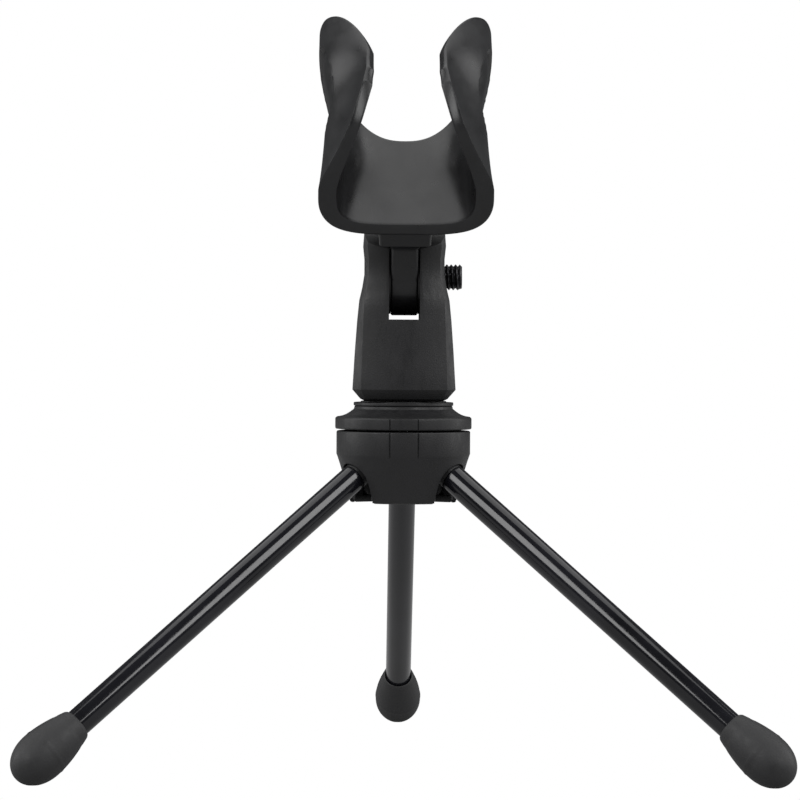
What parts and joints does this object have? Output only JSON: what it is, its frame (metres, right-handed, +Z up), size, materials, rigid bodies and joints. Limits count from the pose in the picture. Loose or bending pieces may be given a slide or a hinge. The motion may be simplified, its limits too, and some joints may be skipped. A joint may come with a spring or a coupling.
{
  "type": "tabletop microphone tripod",
  "caption": "Folding tabletop tripod with hinged tube legs on a round hub, carrying a swivelling, tilting head with an open U-shaped microphone clip.",
  "frame": {"origin": "the middle of the stand's box at the level of the table, with the stand open and on its feet", "axes": "+Z up along the hub's axis, +Y towards the rear leg, +X to the side where the tilt bolt's end stands out"},
  "size_m": [0.1712, 0.1496, 0.1701],
  "materials": {
    "smooth_plastic": "semi-gloss black moulding",
    "textured_plastic": "finely textured black moulding",
    "gloss_black_tube": "gloss black",
    "black_rubber": "matte",
    "black_steel": "black oxide steel",
    "plated_steel": "bright zinc plated",
    "brass": "turned brass"
  },
  "bodies": {
    "hub": {"hub_body": "textured_plastic", "hub_cap": "textured_plastic", "base_plate": "textured_plastic", "base_screw_1": "plated_steel", "base_screw_2": "plated_steel", "base_screw_3": "plated_steel", "mount_stud": "plated_steel", "seat_washer": "textured_plastic", "leg_pin_left": "plated_steel", "leg_pin_right": "plated_steel", "leg_pin_rear": "plated_steel"},
    "leg_left": {"leg_tube_left": "gloss_black_tube", "leg_knuckle_left": "textured_plastic", "foot_left": "black_rubber"},
    "leg_right": {"leg_tube_right": "gloss_black_tube", "leg_knuckle_right": "textured_plastic", "foot_right": "black_rubber"},
    "leg_rear": {"leg_tube_rear": "gloss_black_tube", "leg_knuckle_rear": "textured_plastic", "foot_rear": "black_rubber"},
    "head": {"swivel_body": "textured_plastic", "thread_bushing": "brass", "pivot_bolt": "black_steel", "pivot_nut": "black_steel"},
    "clip": {"mic_clip": "smooth_plastic"}
  },
  "joints": [
    {"name": "leg_left_fold", "type": "hinge", "parent": "hub", "child": "leg_left", "pos_m": [-0.00823, -0.02804, 0.06826], "axis": [0.5, -0.866, 0], "range_deg": [0, 52.8]},
    {"name": "leg_right_fold", "type": "hinge", "parent": "hub", "child": "leg_right", "pos_m": [0.00823, -0.02804, 0.06826], "axis": [0.5, 0.866, 0], "range_deg": [0, 52.8]},
    {"name": "leg_rear_fold", "type": "hinge", "parent": "hub", "child": "leg_rear", "pos_m": [0, -0.01379, 0.06826], "axis": [-1, 0, 0], "range_deg": [0, 52.8]},
    {"name": "head_swivel", "type": "hinge", "parent": "hub", "child": "head", "pos_m": [0, -0.02329, 0.08296], "axis": [0, 0, 1], "range_deg": [-180, 180]},
    {"name": "clip_tilt", "type": "hinge", "parent": "head", "child": "clip", "pos_m": [0, -0.02329, 0.11126], "axis": [1, 0, 0], "range_deg": [-120, 45]}
  ]
}
